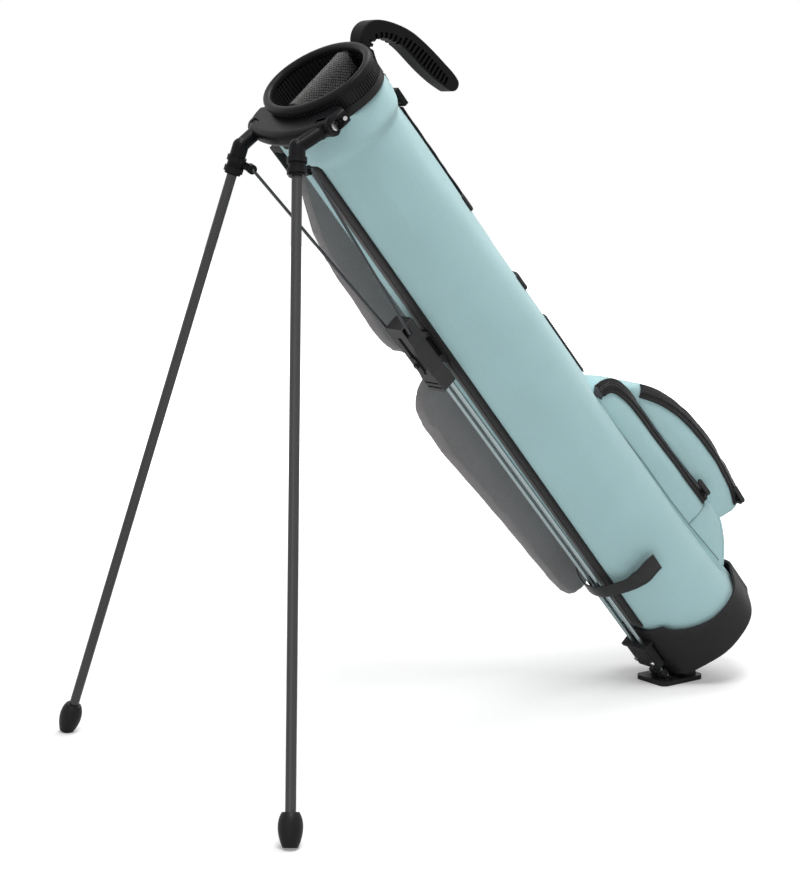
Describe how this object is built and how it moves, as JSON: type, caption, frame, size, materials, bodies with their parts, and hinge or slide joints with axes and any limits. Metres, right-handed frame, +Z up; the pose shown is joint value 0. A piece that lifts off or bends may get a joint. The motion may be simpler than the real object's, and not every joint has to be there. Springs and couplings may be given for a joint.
{
  "type": "golf stand bag",
  "caption": "Compact golf bag leaning on splayed wire-driven legs, with an oval divided mouth, zipped pockets, a padded shoulder strap and a hinged foot plate.",
  "frame": {"origin": "on the ground, under the middle of the whole object as it stands on its foot plate and legs", "axes": "+Z up; -X the way the bag leans, towards its legs; +Y to the side that carries the shoulder strap"},
  "size_m": [0.7368, 0.4218, 0.6965],
  "materials": {
    "shell_fabric": "woven coated polyester, matt",
    "band_fabric": "woven polyester, matt",
    "grey_webbing": "woven webbing, matt",
    "black_webbing": "woven webbing, slightly shiny",
    "pad_fabric": "padded knit, fine speckle",
    "mesh_fabric": "spacer mesh, diamond weave",
    "divider_fabric": "nylon sheet, matt",
    "label_fabric": "woven label, blank",
    "zip_black": "coated zip tape",
    "zip_metal": "black enamel",
    "moulded_black": "fine moulded texture",
    "satin_black": "satin moulded",
    "bridge_plastic": "satin moulded",
    "grip_rubber": "ribbed, matt",
    "shoe_rubber": "matt",
    "foam_grey": "closed-cell foam",
    "stay_fibreglass": "pultruded rod",
    "leg_metal": "dark anodised, satin",
    "wire_steel": "drawn wire, lacquered",
    "screw_steel": "zinc plated"
  },
  "bodies": {
    "bag": {"back_tabs": "band_fabric", "back_webbing": "grey_webbing", "ball_pocket": "shell_fabric", "base_cup": "moulded_black", "collar": "moulded_black", "divider_bar": "moulded_black", "divider_sheet": "divider_fabric", "divider_sleeve": "mesh_fabric", "floor_pad": "foam_grey", "front_band": "band_fabric", "front_strip": "shell_fabric", "front_webbing": "grey_webbing", "guide_screws": "screw_steel", "handle": "grip_rubber", "handle_screws": "screw_steel", "hinge_pin": "screw_steel", "label_tab": "label_fabric", "ladder_buckle": "satin_black", "leg_strap": "black_webbing", "leg_yoke": "satin_black", "outer_pocket": "shell_fabric", "pivot_pin_far": "screw_steel", "pivot_pin_near": "screw_steel", "rail_cap": "moulded_black", "ring_cuff": "moulded_black", "ring_lip": "satin_black", "rod_guide": "moulded_black", "side_panel_far": "shell_fabric", "side_panel_near": "shell_fabric", "side_stays": "stay_fibreglass", "slide_rail": "moulded_black", "strap_anchors": "black_webbing", "strap_pad_lower": "pad_fabric", "strap_pad_upper": "pad_fabric", "strap_patch": "band_fabric", "strap_webbing": "black_webbing", "yoke_screws": "screw_steel", "zip_tape_back": "zip_black", "zip_tape_main": "zip_black", "zip_tape_outer": "zip_black"},
    "leg_near": {"leg_arm_near": "satin_black", "leg_tube_near": "leg_metal", "leg_shoe_near": "shoe_rubber"},
    "leg_far": {"leg_arm_far": "satin_black", "leg_tube_far": "leg_metal", "leg_shoe_far": "shoe_rubber"},
    "wire_near": {"push_wire_near": "wire_steel"},
    "wire_far": {"push_wire_far": "wire_steel"},
    "push": {"push_bridge": "bridge_plastic", "push_rods": "wire_steel", "rod_clevis": "bridge_plastic"},
    "foot": {"foot_plate": "moulded_black", "lever_pin": "screw_steel"},
    "slider_main": {"zip_slider_main": "zip_metal"},
    "slider_outer": {"zip_slider_outer": "zip_metal"}
  },
  "joints": [
    {"name": "leg_near_fold", "type": "hinge", "parent": "bag", "child": "leg_near", "pos_m": [-0.22138, -0.054, 0.59722], "axis": [0.2386, -0.9482, 0.2096], "range_deg": [0, 53.78]},
    {"name": "leg_far_fold", "type": "hinge", "parent": "bag", "child": "leg_far", "pos_m": [-0.22138, 0.054, 0.59722], "axis": [-0.2386, -0.9482, -0.2096], "range_deg": [0, 53.78]},
    {"name": "wire_near_pivot", "type": "hinge", "parent": "leg_near", "child": "wire_near", "pos_m": [-0.23655, -0.046, 0.55994], "axis": [-0.2386, 0.9482, -0.2096], "range_deg": [0, 60.72]},
    {"name": "wire_far_pivot", "type": "hinge", "parent": "leg_far", "child": "wire_far", "pos_m": [-0.23655, 0.046, 0.55994], "axis": [0.2386, 0.9482, 0.2096], "range_deg": [0, 60.72]},
    {"name": "push_slide", "type": "slide", "parent": "bag", "child": "push", "axis": [0.66, 0, -0.7513], "range_m": [0, 0.02166]},
    {"name": "foot_hinge", "type": "hinge", "parent": "bag", "child": "foot", "pos_m": [0.29387, 0, 0.01829], "axis": [0, -1, 0], "range_deg": [0, 41.32]},
    {"name": "zip_main_slide", "type": "slide", "parent": "bag", "child": "slider_main", "axis": [-0.6938, 0, 0.7202], "range_m": [0, 0.158]},
    {"name": "zip_outer_slide", "type": "slide", "parent": "bag", "child": "slider_outer", "axis": [-0.6328, 0, 0.7743], "range_m": [0, 0.124]}
  ],
  "couplings": [
    {"joint": "leg_far_fold", "follows": "leg_near_fold", "ratio": 1},
    {"joint": "wire_near_pivot", "follows": "leg_near_fold", "ratio": 1.1286},
    {"joint": "wire_far_pivot", "follows": "leg_near_fold", "ratio": 1.1286},
    {"joint": "push_slide", "follows": "leg_near_fold", "m_per_rad": 0.023053},
    {"joint": "foot_hinge", "follows": "leg_near_fold", "ratio": 0.76794}
  ]
}
